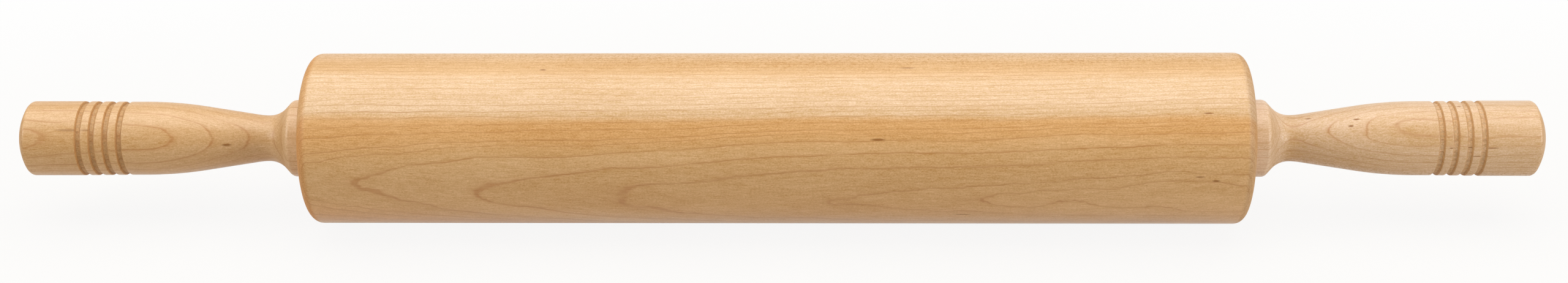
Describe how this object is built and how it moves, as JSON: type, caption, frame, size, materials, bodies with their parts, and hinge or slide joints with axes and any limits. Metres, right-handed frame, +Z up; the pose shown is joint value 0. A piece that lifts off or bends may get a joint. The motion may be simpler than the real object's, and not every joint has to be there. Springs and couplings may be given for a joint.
{
  "type": "rolling pin",
  "caption": "Baker's rolling pin: a cylindrical maple barrel with rounded rims turns on ball bearings about a steel axle, held by turned maple handles with grooves.",
  "frame": {"origin": "middle of the barrel, on its axis", "axes": "+X along the axle towards the right handle, +Z up, the pin lying level"},
  "size_m": [0.624, 0.0698, 0.0698],
  "materials": {
    "maple_barrel": "oiled, fine-sanded maple",
    "maple_handles": "turned, fine-sanded maple",
    "rod_steel": "ground steel rod",
    "washer_steel": "zinc-plated steel",
    "bearing_steel": "polished bearing steel",
    "shield_steel": "pressed steel sheet",
    "cage_nylon": "moulded natural nylon",
    "insert_brass": "turned brass"
  },
  "bodies": {
    "axle_and_handles": {"axle_rod": "rod_steel", "left_handle": "maple_handles", "left_handle_insert": "insert_brass", "left_thrust_washer": "washer_steel", "left_bearing_inner_race": "bearing_steel", "right_handle": "maple_handles", "right_handle_insert": "insert_brass", "right_thrust_washer": "washer_steel", "right_bearing_inner_race": "bearing_steel"},
    "barrel": {"barrel": "maple_barrel", "left_bearing_outer_race": "bearing_steel", "left_bearing_inner_shield": "shield_steel", "left_bearing_outer_shield": "shield_steel", "right_bearing_outer_race": "bearing_steel", "right_bearing_inner_shield": "shield_steel", "right_bearing_outer_shield": "shield_steel"},
    "left_ball_set": {"left_bearing_cage": "cage_nylon", "left_bearing_balls": "bearing_steel"},
    "right_ball_set": {"right_bearing_cage": "cage_nylon", "right_bearing_balls": "bearing_steel"}
  },
  "joints": [
    {"name": "barrel_spin", "type": "hinge", "parent": "axle_and_handles", "child": "barrel", "pos_m": [0, 0, 0], "axis": [1, 0, 0], "continuous": true},
    {"name": "left_balls_spin", "type": "hinge", "parent": "axle_and_handles", "child": "left_ball_set", "pos_m": [-0.1867, 0, 0], "axis": [1, 0, 0], "continuous": true},
    {"name": "right_balls_spin", "type": "hinge", "parent": "axle_and_handles", "child": "right_ball_set", "pos_m": [0.1867, 0, 0], "axis": [1, 0, 0], "continuous": true}
  ],
  "couplings": [
    {"joint": "left_balls_spin", "follows": "barrel_spin", "ratio": 0.6323},
    {"joint": "right_balls_spin", "follows": "barrel_spin", "ratio": 0.6323}
  ]
}
